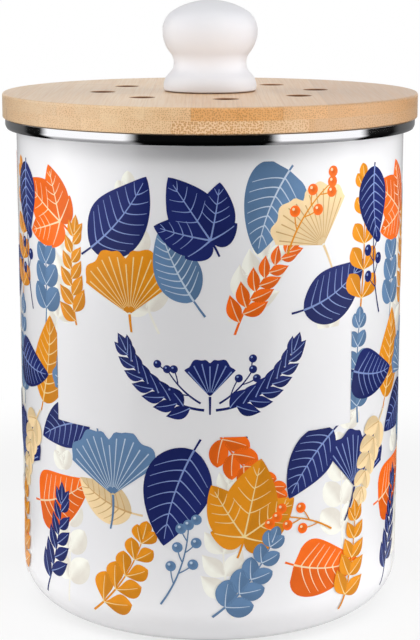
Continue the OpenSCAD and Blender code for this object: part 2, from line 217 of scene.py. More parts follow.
def makeBamboo(look):
    # Two plies of strips that run from front to back. Fibre bundles are long cells along Y: they show
    # as dots where the edge cuts them and as streaks on the faces that lie along them
    material, shader, point = newMaterial("bamboo")
    x, y, z = splitPoint(point)
    radius = axisAway(x, y)
    x = plus(x, stretch(noise(point, 9, 1), 0.2, 0.8, -0.0005, 0.0005, False))
    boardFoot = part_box("bamboo_lid")[0].z
    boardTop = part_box("bamboo_lid")[1].z
    upward = calc("DIVIDE", minus(z, boardFoot), look["plyHeight"])
    ply = calc("FLOOR", upward)
    upper = stretch(ply, 0.4, 0.6)
    across = plus(calc("DIVIDE", minus(x, look["seamPlace"]), look["stripWidth"]),
                  times(minus(1.0, upper), look["lowerShift"]))
    strip = calc("FLOOR", across)
    chance = addNode(point.id_data, "TexWhiteNoise", {"noise_dimensions": "3D"}, {
        "Vector": joinPoint(strip, ply, 4.0)}).outputs
    place = splitPoint(chance["Color"])
    # pale strips at the left, toasted ones in the middle of the upper ply, in between at the right
    middle = times(plus(strip, 0.5), look["stripWidth"])
    toast = times(stretch(middle, -0.012, 0.006), stretch(middle, 0.03, 0.05, 1.0, 0.3))
    toast = times(toast, stretch(upper, 0, 1, 0.5, 0.95))
    # the top was sanded pale, which also thins the fibres there
    sanded = stretch(z, boardTop - 0.0006, boardTop - 0.0001)
    toast = times(toast, stretch(sanded, 0, 1, 1.0, 0.22, False))
    tone = plus(toast, times(chance["Value"], 0.16))
    first, last = look["strips"][0][0], look["strips"][-1][0]
    pale = colourRamp(stretch(middle, first, last, 0, 1, False),
                      [((spot - first) / (last - first), colour) for spot, colour in look["strips"]])
    # broad and fine streaks
    drift = plus(times(z, 150), times(chance["Value"], 40))
    broad = noise(joinPoint(times(x, 150), times(y, 5), drift), 1, 3)
    fine = noise(joinPoint(times(x, 1300), times(y, 26), times(z, 1300)), 1)
    # fibre bundles run the whole length of a strip: few at the left, crowded in the toasted strips
    cells = addNode(point.id_data, "TexVoronoi", {"feature": "F1", "voronoi_dimensions": "2D"}, {
        "Vector": joinPoint(plus(x, times(place[1], 0.3)), z, 0.0),
        "Scale": 1 / look["fibreGap"], "Randomness": 0.72})
    central = times(stretch(middle, -0.017, 0.004), stretch(middle, 0.02, 0.07, 1.0, 0.15))
    crowd = plus(stretch(broad, 0.35, 0.7, -0.02, 0.1, False), stretch(central, 0, 1, 0.15, 0.29, False))
    away = minus(cells.outputs["Distance"], crowd)
    dots = stretch(away, 0.07, -0.07)
    flecks = times(stretch(away, 0.04, 0.2), times(central, stretch(upper, 0, 1, 1.0, 0.15)))
    # seams between strips and plies, and the knuckle that crosses each strip
    besideStrip = calc("ABSOLUTE", minus(calc("FRACT", across), 0.5))
    besidePly = calc("ABSOLUTE", minus(calc("FRACT", upward), 0.5))
    seams = calc("MAXIMUM", stretch(besideStrip, 0.492, 0.499), stretch(besidePly, 0.482, 0.498, 0.0, 0.5))
    knucklePlace = stretch(place[0], 0, 1, -0.13, 0.13, False)
    knuckle = stretch(calc("ABSOLUTE", minus(y, knucklePlace)), 0.0022, 0.0003)
    # the drilled walls of the vents are painted dark brown: painted shade inside the holes
    inBoard = times(stretch(z, boardFoot + 0.0002, boardFoot + 0.0008),
                    stretch(z, boardTop - 0.00005, boardTop - 0.00025))
    paintedVentShade = times(inBoard, stretch(radius, look["ventReach"] + 0.0004, look["ventReach"]))
    # the colours go on one over the other, each by its share
    colour = pale
    for paint, share in (
            ("warm", plus(tone, stretch(broad, 0.3, 0.7, -0.06, 0.16, False))),
            ("streak", stretch(fine, 0.35, 0.75, 0.0, 0.3)),
            ("fibre", times(dots, stretch(sanded, 0, 1, 0.5, 0.16, False))),
            ("pith", times(flecks, stretch(sanded, 0, 1, 0.42, 0.1, False))),
            ("fibre", times(knuckle, 0.3)),
            ("seam", times(seams, 0.24)),
            # painted shade on the vent walls
            ("cut", times(paintedVentShade, 0.96))):
        colour = blendColour(share, colour, look[paint])
    relief = plus(times(dots, 0.7), plus(fine, seams))
    setInputs(shader, {
        **look["varnish"], "Base Color": colour, "Roughness": stretch(fine, 0.3, 0.7, *look["roughness"]),
        "Normal": bump(relief, look["reliefDepth"], 0.6)})
    return material


# the dark brown at the foot is painted contact shadow
glazeLook = {"white": (0.69, 0.69, 0.716, 1), "shade": (0.67, 0.67, 0.70, 1), "paintedFootShade": (0.16, 0.06, 0.04, 1),
             "paintedFootShadeHeight": 0.0006, "roughness": (0.46, 0.9),
             "gloss": {"IOR": 1.46, "Specular IOR Level": 0.22, "Coat Weight": 0.05, "Coat Roughness": 0.28}}


def makeGlaze(look):
    # Porcelain with a satin glaze: faint clouds in the white, a soft sheen and hardly any ripple.
    # The lowest band of the foot is painted dark brown as contact shadow where the knob stands on the lid,
    # and is rough and dry
    material, shader, point = newMaterial("knobGlaze")
    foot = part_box("knob")[0].z
    # band at the bottom of the foot that takes the painted contact shadow
    paintedFootShade = stretch(splitPoint(point)[2], foot + look["paintedFootShadeHeight"], foot + look["paintedFootShadeHeight"] / 2)
    clouds = stretch(noise(point, 60, 3), 0.3, 0.7)
    glazed = blendColour(clouds, look["white"], look["shade"])
    setInputs(shader, {
        **look["gloss"], "Base Color": blendColour(paintedFootShade, glazed, look["paintedFootShade"]),
        "Roughness": stretch(paintedFootShade, 0, 1, *look["roughness"]), "Normal": bump(noise(point, 260), 0.00001)})
    return material


siliconeLook = {"light": (0.80, 0.82, 0.83, 1), "deep": (0.72, 0.74, 0.76, 1), "grainScale": 2500,
                "grainDepth": 0.000004,
                "milk": {"Roughness": 0.42, "IOR": 1.43, "Subsurface Weight": 0.35,
                         "Subsurface Radius": (0.004, 0.004, 0.004), "Subsurface Scale": 0.6}}


def makeSilicone(look):
    # Milky rubber with a fine moulded grain
    material, shader, point = newMaterial("sealSilicone")
    setInputs(shader, {
        **look["milk"], "Base Color": blendColour(noise(point, 45), look["light"], look["deep"]),
        "Normal": bump(noise(point, look["grainScale"], 1), look["grainDepth"])})
    return material


brassLook = {"bright": (0.80, 0.58, 0.26, 1), "tarnish": (0.52, 0.35, 0.14, 1), "scale": 420,
             "roughness": (0.24, 0.42)}


def makeBrass(look):
    # Turned brass with darker tarnish in patches
    material, shader, point = newMaterial("insertBrass")
    tarnish = stretch(noise(point, look["scale"], 4), 0.4, 0.75)
    setInputs(shader, {
        "Base Color": blendColour(tarnish, look["bright"], look["tarnish"]), "Metallic": 1.0,
        "Roughness": stretch(tarnish, 0, 1, *look["roughness"])})
    return material


zincLook = {"deep": (0.60, 0.61, 0.62, 1), "bright": (0.72, 0.73, 0.75, 1), "spangleScale": 900,
            "roughness": (0.24, 0.4)}


def makeZincSteel(look):
    # Zinc-plated fasteners and clips: small spangle in the tone, soft gloss
    material, shader, point = newMaterial("zincSteel")
    spangle = addNode(point.id_data, "TexVoronoi", None, {"Vector": point, "Scale": look["spangleScale"]})
    chip = splitPoint(spangle.outputs["Color"])[0]
    setInputs(shader, {
        "Base Color": blendColour(chip, look["deep"], look["bright"]), "Metallic": 1.0,
        "Roughness": stretch(noise(point, 700), 0.3, 0.7, *look["roughness"])})
    return material


feltLook = {"deep": (0.018, 0.018, 0.019, 1), "fibre": (0.085, 0.085, 0.088, 1),
            "clump": (0.03, 0.03, 0.031, 1), "fibreScale": 2600, "fibreStretch": 0.12, "wander": 0.02,
            "depth": 0.0005, "fluff": {"Roughness": 0.95, "Sheen Weight": 0.25, "Sheen Roughness": 0.5}}


def makeFelt(look):
    # Needled charcoal felt: long crossed fibres over dark clumps
    material, shader, point = newMaterial("charcoalFelt")
    x, y, z = splitPoint(point)
    bend = times(noise(point, 120), look["wander"])
    lengthwise = joinPoint(plus(x, bend), times(y, look["fibreStretch"]), z)
    crosswise = joinPoint(times(x, look["fibreStretch"]), plus(y, bend), z)
    fibres = calc("MAXIMUM", noise(lengthwise, look["fibreScale"]), noise(crosswise, look["fibreScale"]))
    clumps = noise(point, 300, 4)
    colour = blendColour(stretch(fibres, 0.5, 0.75), look["deep"], look["fibre"])
    setInputs(shader, {
        **look["fluff"], "Base Color": blendColour(stretch(clumps, 0.35, 0.7), colour, look["clump"]),
        "Normal": bump(plus(fibres, clumps), look["depth"], 0.8)})
    return material


plasticLook = {"light": (0.30, 0.315, 0.325, 1), "deep": (0.26, 0.275, 0.285, 1), "grainScale": 1900,
               "grainDepth": 0.00002, "roughness": (0.42, 0.52)}


def makeMouldedGrey(look):
    # Moulded grey plastic with a spark-eroded grain
    material, shader, point = newMaterial("mouldedGrey")
    grain = noise(point, look["grainScale"])
    setInputs(shader, {
        "Base Color": blendColour(noise(point, 18, 3), look["light"], look["deep"]),
        "Roughness": stretch(grain, 0.3, 0.7, *look["roughness"]), "IOR": 1.49,
        "Normal": bump(grain, look["grainDepth"], 0.7)})
    return material


enamel = makeEnamel(enamelLook)
polishedSteel = makePolishedSteel(steelLook)
bamboo = makeBamboo(bambooLook)
glaze = makeGlaze(glazeLook)
silicone = makeSilicone(siliconeLook)
brass = makeBrass(brassLook)
zincSteel = makeZincSteel(zincLook)
felt = makeFelt(feltLook)
mouldedGrey = makeMouldedGrey(plasticLook)
print("finishes made")


def linkObject(name, data):
    thing = bpy.data.objects.new(name, data)
    bpy.context.scene.collection.objects.link(thing)
    return thing


def polar(reach, way):
    # Point at a distance and an angle: reach * (cos way, sin way)
    return np.stack([reach * np.cos(way), reach * np.sin(way)], axis=-1)


def softOutline(corners, closed, step=7.0):
    # Outline through the corners (r, z, radius): each corner becomes an arc that touches both of its
    # sides. Gives the points and their outward normals, the right-hand side of the way along
    spots, radii = np.split(np.array(corners, float), [2], axis=1)
    before = np.roll(spots, 1, axis=0)
    after = np.roll(spots, -1, axis=0)
    points = []
    normals = []
    for i in range(len(spots)):
        inward = spots[i] - before[i]
        outward = after[i] - spots[i]
        inward = inward / np.hypot(*inward)
        outward = outward / np.hypot(*outward)
        if not closed and i in (0, len(spots) - 1):
            way = outward if i == 0 else inward
            points.append(spots[i][None])
            normals.append(np.array([[way[1], -way[0]]]))
            continue
        turn = math.atan2(inward[0] * outward[1] - inward[1] * outward[0], inward @ outward)
        side = 1 if turn > 0 else -1
        back = radii[i] * math.tan(abs(turn) / 2)
        count = max(3, int(abs(math.degrees(turn)) / step) + 2)
        swing = np.linspace(0, turn, count)
        out = np.array([inward[1], -inward[0]]) * side
        centre = spots[i] - inward * back - out * radii[i]
        rays = np.stack([out[0] * np.cos(swing) - out[1] * np.sin(swing),
                         out[0] * np.sin(swing) + out[1] * np.cos(swing)], axis=1)
        points.append(centre + rays * radii[i])
        normals.append(rays * side)
    return np.concatenate(points), np.concatenate(normals)


def finishPiece(name, mesh, normals, body, material):
    mesh.update()
    mesh.materials.append(material)
    mesh.polygons.foreach_set("use_smooth", np.ones(len(mesh.polygons), bool))
    mesh.normals_split_custom_set_from_vertices(normals.tolist())
    piece = linkObject(name, mesh)
    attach(piece, body)
    return piece


def turnedPiece(name, outline, closed, body, node, material, segments):
    # Surface of revolution: the outline point (r, z) at angle a lies at (r sin a, -r cos a, z).
    # An open outline starts and ends on the axis, where one point closes the ring with a fan
    points, normals = outline
    ends = [] if closed else [0, -1]
    poles, poleNormals = points[ends], normals[ends]
    if not closed:
        points, normals = points[1:-1], normals[1:-1]
    count = len(points)
    angle = np.arange(segments) * 2 * math.pi / segments

    def turned(rows):
        return np.stack([rows[:, :1] * np.sin(angle), -rows[:, :1] * np.cos(angle),
                         np.repeat(rows[:, 1:], segments, axis=1)], axis=2).reshape(-1, 3)

    def onAxis(rows):
        return np.column_stack([np.zeros((len(rows), 2)), rows[:, 1]])

    grid = np.concatenate([turned(points), onAxis(poles)]) * mm
    gridNormals = np.concatenate([turned(normals), onAxis(poleNormals)])
    i, j = np.meshgrid(np.arange(count if closed else count - 1), np.arange(segments), indexing="ij")
    above = (i + 1) % count
    beside = (j + 1) % segments
    faces = np.stack([i * segments + j, i * segments + beside, above * segments + beside,
                      above * segments + j], axis=2).reshape(-1, 4).tolist()
    if not closed:
        ring = np.arange(segments)
        follow = (ring + 1) % segments
        last = (count - 1) * segments
        pole = np.full(segments, count * segments)
        faces += np.column_stack([pole, follow, ring]).tolist()
        faces += np.column_stack([pole + 1, last + ring, last + follow]).tolist()
    mesh = bpy.data.meshes.new(name)
    mesh.from_pydata(grid.tolist(), [], faces)
    piece = finishPiece(name, mesh, gridNormals, body, material)
    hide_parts(node)


pailSize = {"radius": 90, "wall": 1, "footCorner": 19, "ringInner": 64.5, "baseRise": 1.5, "bend": 1.5,
            "lipReach": 94.55, "lipFoot": 226.05, "lipTop": 229.25, "lipInnerBend": 0.7, "lipOuterBend": 0.6}


def makePail(size):
    # Outside and then inside, from the raised middle of the base to the lip and back
    r = size["radius"]
    w = size["wall"]
    rise = size["baseRise"]
    ring = size["ringInner"]
    bend = size["bend"]
    corners = (
        (0, rise, 0), (ring - rise, rise, bend), (ring, 0, bend), (r, 0, size["footCorner"]),
        (r, size["lipFoot"], size["lipOuterBend"]), (size["lipReach"], size["lipFoot"], bend),
        (size["lipReach"], size["lipTop"], bend), (r - w, size["lipTop"], size["lipInnerBend"]),
        (r - w, w, size["footCorner"] - w), (ring, w, bend), (ring - rise, w + rise, bend), (0, w + rise, 0))
    outline = softOutline(corners, False, 3.5)
    turnedPiece("pailEnamel", outline, False, "pail", "enamel_pail", enamel, 224)


rimSize = {  # radius, height and rounding of each corner, out of the hook's end and back into it
    "outside": ((92.95, 225.2, 0.1), (94.4, 225.2, 0.12), (95.1, 226.6, 3.0), (95.1, 229.8, 0.15),
                (88.45, 229.8, 1), (88.45, 221.8, 0.2)),
    "inside": ((88.95, 221.8, 0.2), (88.95, 229.3, 0.5), (94.6, 229.3, 0.1), (94.6, 226.7, 2.4),
               (94.2, 225.9, 0.1), (92.95, 225.9, 0.1))}


def makeRim(size):
    outline = softOutline(size["outside"] + size["inside"], True)
    turnedPiece("rimSteel", outline, True, "pail", "steel_rim", polishedSteel, 256)


knobSize = {"height": 41.7, "ballRadius": 22.05, "ballHeight": 27.7, "crown": 32.85, "shoulder": 11,
            "belly": 16, "neckRadius": 16.85, "neckHeight": 13.2, "hollow": 6.9, "footRadius": 21.6,
            "footBulge": 8, "footEdge": 1.2, "standRadius": 18.6, "standHeight": 0.2, "boreRadius": 4.6,
            "boreDepth": 15}


def makeKnob(size):
    # Six arcs that run into each other, from the foot's edge to the crown. A point is
    # centre + radius * (cos a, sin a), and two arcs meet on the line through their centres
    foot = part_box("knob")[0].z / mm
    edgeHeight = size["standHeight"] + size["footEdge"]
    hollow = np.array((size["neckRadius"] + size["hollow"], size["neckHeight"]))
    belly = np.array((size["ballRadius"] - size["belly"], size["ballHeight"]))
    shoulder = np.array((size["ballRadius"] - size["shoulder"], size["ballHeight"]))
    crown = np.array((0, size["height"] - size["crown"]))
    bulgeX = size["footRadius"] - size["footBulge"]
    drop = math.sqrt((size["hollow"] + size["footBulge"]) ** 2 - (hollow[0] - bulgeX) ** 2)
    bulge = np.array((bulgeX, hollow[1] - drop))
    inset = size["footBulge"] - size["footEdge"]
    edge = np.array((bulgeX + math.sqrt(inset ** 2 - (bulge[1] - edgeHeight) ** 2), edgeHeight))

    def way(start, end):
        return math.atan2(end[1] - start[1], end[0] - start[0])

    arcs = (
        (edge, size["footEdge"], -math.pi / 2, way(bulge, edge)),
        (bulge, size["footBulge"], way(bulge, edge), way(bulge, hollow)),
        (hollow, -size["hollow"], way(bulge, hollow), way(belly, hollow)),
        (belly, size["belly"], way(belly, hollow), 0),
        (shoulder, size["shoulder"], 0, way(crown, shoulder)),
        (crown, size["crown"], way(crown, shoulder), math.pi / 2))
    stand, standNormals = softOutline((
        (0, size["boreDepth"], 0), (size["boreRadius"], size["boreDepth"], 0.1), (size["boreRadius"], 0, 0.1),
        (size["standRadius"], 0, 0.05), (size["standRadius"], size["standHeight"], 0.05),
        (edge[0], size["standHeight"], 0)), False)
    points = [stand[:-1]]
    normals = [standNormals[:-1]]
    for centre, radius, start, end in arcs:
        a = np.linspace(start, end, max(8, int(abs((end - start) * radius) / 0.4)))
        ray = polar(1, a)
        points.append((centre + ray * radius)[:-1])
        normals.append(ray[:-1])
    points.append(np.array([[0, size["height"]]]))
    normals.append(np.array([[0, 1]]))
    outline = np.concatenate(points) + (0, foot), np.concatenate(normals)
    turnedPiece("knobPorcelain", outline, False, "lid", "knob", glaze, 160)


makePail(pailSize)
makeRim(rimSize)
makeKnob(knobSize)
print("pail, rim and knob made")

printSetup = {"radius": 90.0, "tiles": 3, "low": 12.0, "high": 218.0, "label": (-77.0, 69.0, 99.0, 144.0),
              "cell": 3.0, "cellRows": 100, "firstLift": 0.03, "layer": 0.012, "thickness": 0.05}
inkColours = {"navy": (33, 42, 102), "navyVein": (132, 152, 204), "blue": (97, 129, 166),
              "blueVein": (192, 207, 224), "orange": (240, 106, 28), "orangeVein": (252, 214, 172),
              "golden": (224, 142, 30), "goldenVein": (251, 216, 152), "cream": (238, 210, 163),
              "creamVein": (207, 166, 112), "ghost": (247, 241, 229)}
leafForms = {"ovate": (0.72, 0.85), "lance": (0.85, 1.15), "spoon": (1.5, 0.8), "heart": (0.48, 0.75),
             "oval": (1.0, 0.62)}


def bentLine(start, heading, length, bend, steps):
    # Line of even curvature: the heading turns by bend on the way, and each point is the sum of the
    # short steps before it
    t = np.linspace(0, 1, steps)
    way = np.radians(heading + bend * t)
    hop = length / (steps - 1)
    x = np.cumsum(np.cos(way)) * hop - np.cos(way[0]) * hop
    z = np.cumsum(np.sin(way)) * hop - np.sin(way[0]) * hop
    return np.stack([start[0] + x, start[1] + z], axis=1)


def sideways(lines):
    # Unit normal at each point of each line, to the left of its way
    run = np.gradient(lines, axis=-2)
    run = run / np.maximum(np.hypot(run[..., 0], run[..., 1]), 1e-9)[..., None]
    return np.stack([-run[..., 1], run[..., 0]], axis=-1)


def ribbons(lines, widths):
    # Strips about lines: line + v * width / 2 * normal, for v = -1 and 1
    half = sideways(lines) * (np.broadcast_to(widths, lines.shape[:-1])[..., None] / 2)
    return np.stack([lines - half, lines + half], axis=-2)


def leafWidth(kind, u):
    # Half width along the midrib, 0 at the stalk and the tip and 1 at the widest place:
    # sin(pi * u to one power) to another power
    widest, fullness = leafForms[kind]
    return np.clip(np.sin(np.pi * u ** widest), 0, 1) ** fullness


class PrintSheet:
    # Collects flat shapes by ink: s runs round the pail and z up, in millimetres
    def __init__(self, width):
        self.width = width
        self.columns = int(width / printSetup["cell"])
        self.top = np.zeros((self.columns, printSetup["cellRows"]), int)
        self.inks = {}
        self.motif = []

    def put(self, ink, grids, tones, step=0):
        # grids has the shape (count, rows, columns, 2) and tones, from 0 to 1, the same first three
        self.motif.append((ink, grids, np.broadcast_to(tones, grids.shape[:-1]), step))

    def settle(self):
        # Lifts the finished motif just over what it covers: small cells remember the top layer
        points = np.concatenate([grids.reshape(-1, 2) for ink, grids, tones, step in self.motif])
        column = np.floor(points[:, 0] * self.columns / self.width).astype(int) % self.columns
        row = np.clip(points[:, 1] / printSetup["cell"], 0, printSetup["cellRows"] - 1).astype(int)
        level = self.top[column, row].max()
        for ink, grids, tones, step in self.motif:
            self.inks.setdefault(ink, []).append((grids, tones, level + step))
        self.top[column, row] = level + 1 + max(step for ink, grids, tones, step in self.motif)
        self.motif = []

    def stem(self, ink, line, thick, thin, step=0):
        self.put(ink, ribbons(line[None], np.linspace(thick, thin, len(line))), 0.5, step)

    def blades(self, ink, lines, halfWidths, kind, columns, step=0, contrast=0.35):
        # Blades: line(u) + v * half width * profile(u) * normal(u), lighter on one side of the midrib
        u = np.linspace(0, 1, lines.shape[1])
        v = np.linspace(-1, 1, columns)
        reach = np.asarray(halfWidths)[:, None, None] * (leafWidth(kind, u)[:, None] * v[None])[None]
        grids = lines[:, :, None, :] + sideways(lines)[:, :, None, :] * reach[..., None]
        tones = 0.35 + contrast * np.sign(v)[None, None] + 0.2 * u[None, :, None]
        self.put(ink, grids, np.clip(tones, 0, 1), step)

    def veins(self, ink, line, halfWidth, kind, pairs, width, first=0.1, rise=0.2, reach=0.86, step=1):
        # Side veins: each leaves the midrib at its own u and runs out to v = reach while u climbs by rise
        t = np.linspace(0, 1, 10)
        begin = np.linspace(first, 0.78, pairs)
        u = begin[:, None] + rise * (1 - begin[:, None] * 0.6) * t[None] ** 1.35
        u = np.clip(np.concatenate([u, u + 0.012]), 0, 0.95)
        side = np.repeat([1.0, -1.0], pairs)
        along = np.linspace(0, 1, len(line))
        normal = sideways(line)
        out = side[:, None] * reach * t[None] * halfWidth * leafWidth(kind, u[:, -1:])
        lines = np.stack([np.interp(u, along, line[:, i]) + np.interp(u, along, normal[:, i]) * out
                          for i in (0, 1)], axis=-1)
        self.put(ink, ribbons(lines, np.linspace(width, width * 0.35, len(t))), 0.5, step)


def printLeaf(sheet, start, heading, length, halfWidth, kind, ink, bend, pairs=7, stalk=5):
    # One big leaf with its midrib and side veins
    whole = bentLine(start, heading, stalk + length, bend, 48)
    cut = int(47 * stalk / (stalk + length))
    midrib = whole[cut:]
    sheet.stem(ink, whole[:cut + 2], 1.0, 0.8)
    sheet.blades(ink, midrib[None], [halfWidth], kind, 17)
    sheet.stem(ink + "Vein", midrib[:int(len(midrib) * 0.94)], 0.9, 0.3, 1)
    sheet.veins(ink + "Vein", midrib, halfWidth, kind, pairs, 0.6)
    sheet.settle()


def printSprig(sheet, start, heading, length, ink, leaves, leafLength, leafHalf, kind, bend, spread=52,
               alternate=False, taper=0.45, first=0.18, thick=1.1, veined=True):
    # Stem with leaves on both sides, smaller towards the tip, and one leaf at its end
    stem = bentLine(start, heading, length, bend, 60)
    sheet.stem(ink, stem, thick, thick * 0.45)
    place = np.linspace(first, 0.96, leaves)
    shift = 0.5 * (place[1] - place[0]) if alternate else 0.0
    place = np.clip(np.concatenate([place, place + shift]), 0, 0.97)
    side = np.repeat([1.0, -1.0], leaves)
    size = 1 - taper * place
    turn = heading + bend * place + side * spread * (1 - 0.25 * place)
    lines = np.stack([bentLine(stem[int(p * 59)], a, leafLength * k, -16 * f, 14)
                      for p, a, k, f in zip(place, turn, size, side)])
    tip = bentLine(stem[-1], heading + bend, leafLength * (1 - taper), 8, 14)
    lines = np.concatenate([lines, tip[None]])
    sheet.blades(ink, lines, leafHalf * np.append(size, 1 - taper), kind, 7)
    if veined:
        sheet.put(ink + "Vein", ribbons(lines[:, :12], np.linspace(0.5, 0.2, 12)), 0.5, 1)
    sheet.settle()


def printFan(sheet, start, heading, radius, ink, spread=58, stalk=16, bend=20, notch=0.2, spokeCount=13):
    # Fan leaf in polar form, radius(a) * rho about the stalk's end: a wavy rim with a notch in the middle
    stem = bentLine(start, heading, stalk, bend, 16)
    sheet.stem(ink, stem, 0.8, 1.2)
    angle = np.linspace(-spread, spread, 45)
    rim = radius * (1 - notch * np.exp(-(angle / 5.0) ** 2) + 0.035 * np.cos(np.radians(angle * 16))
                    - 0.10 * (np.abs(angle) / spread) ** 4)
    rho = np.linspace(0.03, 1, 14)
    blade = stem[-1] + polar(rho[:, None] * rim[None], np.radians(heading + bend + angle))
    sheet.put(ink, blade[None], 0.1 + 0.75 * rho[None, :, None] ** 1.5)
    spokes = np.linspace(-spread * 0.92, spread * 0.92, spokeCount)[:, None]
    far = np.interp(spokes, angle, rim) * 0.9
    lines = stem[-1] + polar(np.linspace(0.14, 1, 12)[None] * far, np.radians(heading + bend + spokes))
    sheet.put(ink + "Vein", ribbons(lines, np.linspace(0.25, 0.55, 12)), 0.5, 1)
    sheet.settle()


def printLobed(sheet, start, heading, size, ink, stalk=12, bend=12):
    # Leaf of five lobes that grow from one point, each with its own midrib and veins
    stem = bentLine(start, heading, stalk, bend, 12)
    sheet.stem(ink, stem, 0.9, 1.1)
    lobes = ((100, 0.42, 0.17), (-100, 0.42, 0.17), (47, 0.78, 0.27), (-47, 0.78, 0.27), (0, 1.0, 0.34))
    for step, (turn, reach, half) in enumerate(lobes):
        midrib = bentLine(stem[-1], heading + bend + turn, size * reach, -turn * 0.16, 26)
        sheet.blades(ink, midrib[None], [size * half], "ovate", 15, step, 0.3)
        sheet.stem(ink + "Vein", midrib[:23], 0.8, 0.3, 5)
        if reach > 0.5:
            sheet.veins(ink + "Vein", midrib, size * half, "ovate", 4, 0.5, 0.3, 0.2, 0.72, 5)
    sheet.settle()


def printBerries(sheet, start, heading, length, ink, stemInk, count=6, berry=2.6, bend=30, spread=46):
    # Twig with side shoots that end in round berries, rho * (cos a, sin a), each with a small shine
    stem = bentLine(start, heading, length, bend, 60)
    sheet.stem(stemInk, stem, 0.9, 0.5)
    place = np.linspace(0.3, 0.95, count)
    side = np.where(np.arange(count) % 2 == 0, 1.0, -1.0)
    shoots = np.stack([bentLine(stem[int(p * 59)], heading + bend * p + f * spread, 9.5 - 4 * p, -f * 20, 8)
                       for p, f in zip(place, side)])
    sheet.put(stemInk, ribbons(shoots, np.full(8, 0.55)), 0.5)
    ends = np.concatenate([shoots[:, -1], stem[-1:]])[:, None, None]
    rho = np.linspace(0.02, 1, 4)[:, None]
    disc = polar(rho, np.linspace(0, 2 * math.pi, 19))
    sheet.put(ink, ends + berry * disc, rho[None], 1)
    sheet.put(ink + "Vein", ends + np.array([-0.3, 0.35]) * berry + 0.26 * berry * disc, 0.5, 2)
    sheet.settle()


def layoutPattern(sheet):
    leaf, sprig, fan, lobed, berries = (
        partial(motif, sheet) for motif in (printLeaf, printSprig, printFan, printLobed, printBerries))
    # pale sprigs behind the rest
    for start, heading, length, *leaves in (
            ((-72, 14), 82, 66, 5, 18, 6.5, "oval", 20), ((-84, 128), 60, 60, 6, 18, 4.8, "lance", 34),
            ((8, 150), 48, 62, 6, 18, 5, "lance", 40), ((-22, 144), 118, 62, 5, 18, 6, "oval", -30),
            ((66, 40), 100, 60, 5, 18, 6.5, "oval", -24), ((10, 16), 104, 62, 6, 17, 5, "lance", -24),
            ((44, 96), 60, 60, 6, 17, 5, "lance", 40)):
        sprig(start, heading, length, "ghost", *leaves, veined=False)
    # upper band
    sprig((-86, 140), 84, 52, "blue", 5, 15, 5.8, "oval", 14)
    lobed((-66, 184), 140, 33, "orange", 9)
    sprig((-62, 138), 108, 48, "golden", 6, 14, 3.8, "lance", -30, alternate=True)
    leaf((-60, 176), 30, 42, 13.5, "ovate", "navy", 34, stalk=7)
    fan((-33, 136), 104, 29, "golden", bend=-10)
    leaf((-2, 152), 128, 34, 10, "ovate", "blue", -22, 8, 9)
    lobed((4, 178), 112, 32, "navy", 8)
    sprig((10, 142), 74, 46, "orange", 6, 14, 3.6, "lance", -34, alternate=True)
    leaf((36, 216), 232, 38, 14, "heart", "blue", 30, stalk=3)
    fan((58, 166), 108, 27, "cream", bend=10)
    leaf((36, 152), 8, 40, 12, "ovate", "navy", 36, stalk=6)
    berries((34, 178), 74, 38, "orange", "golden", 5, 2.5, -40)
    sprig((74, 144), 82, 62, "golden", 5, 16, 5.2, "spoon", 12)
    berries((90, 146), 112, 44, "navy", "navy", 6, 2.6, -30)
    leaf((84, 214), 262, 34, 11, "ovate", "navy", 26, stalk=2)
    # middle band, cut away by the label on the front
    leaf((-92, 100), 66, 42, 13, "ovate", "golden", 24)
    fan((-52, 96), 96, 26, "blue")
    lobed((-18, 101), 84, 27, "cream")
    sprig((16, 98), 110, 33, "navy", 5, 11, 3.2, "lance", -30, alternate=True)
    leaf((26, 106), 30, 38, 13, "heart", "orange", 30)
    sprig((74, 98), 96, 46, "blue", 5, 13, 5, "oval", -12)
    leaf((66, 124), -24, 34, 11.5, "heart", "navy", 30)
    # lower band
    leaf((-100, 56), 6, 42, 14, "heart", "orange", 34)
    leaf((-52, 102), 186, 36, 11, "ovate", "navy", 26)
    sprig((-90, 14), 62, 50, "navy", 6, 16, 4, "lance", 22, alternate=True)
    leaf((-30, 62), 176, 30, 9.5, "ovate", "cream", -34, stalk=6)
    fan((-46, 54), 74, 30, "blue")
    sprig((-56, 14), 38, 46, "golden", 5, 16, 5.4, "spoon", 34)
    leaf((-4, 98), 238, 46, 15, "ovate", "navy", 26, stalk=6)
    berries((-22, 22), 54, 40, "blue", "blue", 6, 2.4, 34)
    sprig((2, 104), 296, 40, "orange", 5, 14, 4.6, "oval", 30)
    lobed((12, 44), 66, 36, "golden", 10)
    sprig((1, 17), 36, 43, "blue", 5, 14, 5.2, "oval", 30)
    leaf((62, 100), 214, 36, 11, "ovate", "navy", 30)
    leaf((34, 40), -24, 38, 13.5, "heart", "orange", 30)
    fan((66, 54), 56, 27, "navy")
    sprig((96, 100), 226, 40, "cream", 5, 14, 5, "oval", 30)
    sprig((64, 12), 66, 44, "golden", 5, 15, 4.4, "lance", 24)
    berries((58, 52), 146, 30, "orange", "golden", 5, 2.4)


def layoutOrnament(sheet):
    # Two curved olive sprigs that face each other, with a small fan and berries between them
    for side in (-1, 1):
        printSprig(sheet, (side * 2.5, 111), 90 - side * 86, 45, "navy", 7, 12, 3.1, "lance", side * 62, 44,
                   True, 0.3, 0.14, 1.2)
        printBerries(sheet, (side * 4, 114), 90 - side * 60, 21, "navy", "navy", 3, 1.8, side * 30, 38)
    printFan(sheet, (0, 109), 90, 17, "navy", 44, 8, 0, 0.16, 7)


def srgbColour(levels, gain):
    part = np.array(levels, float) / 255
    linear = np.where(part < 0.04045, part / 12.92, ((part + 0.055) / 1.055) ** 2.4)
    return (*np.clip(linear * gain, 0, 1).tolist(), 1.0)


inkLook = {"dark": 0.82, "light": 1.16, "speck": 1.6, "cloudScale": 110, "clouding": 0.9, "grainScale": 1700,
           "gloss": {"Roughness": 0.24, "IOR": 1.5, "Specular IOR Level": 0.15, "Coat Weight": 0.06,
                     "Coat Roughness": 0.08}}


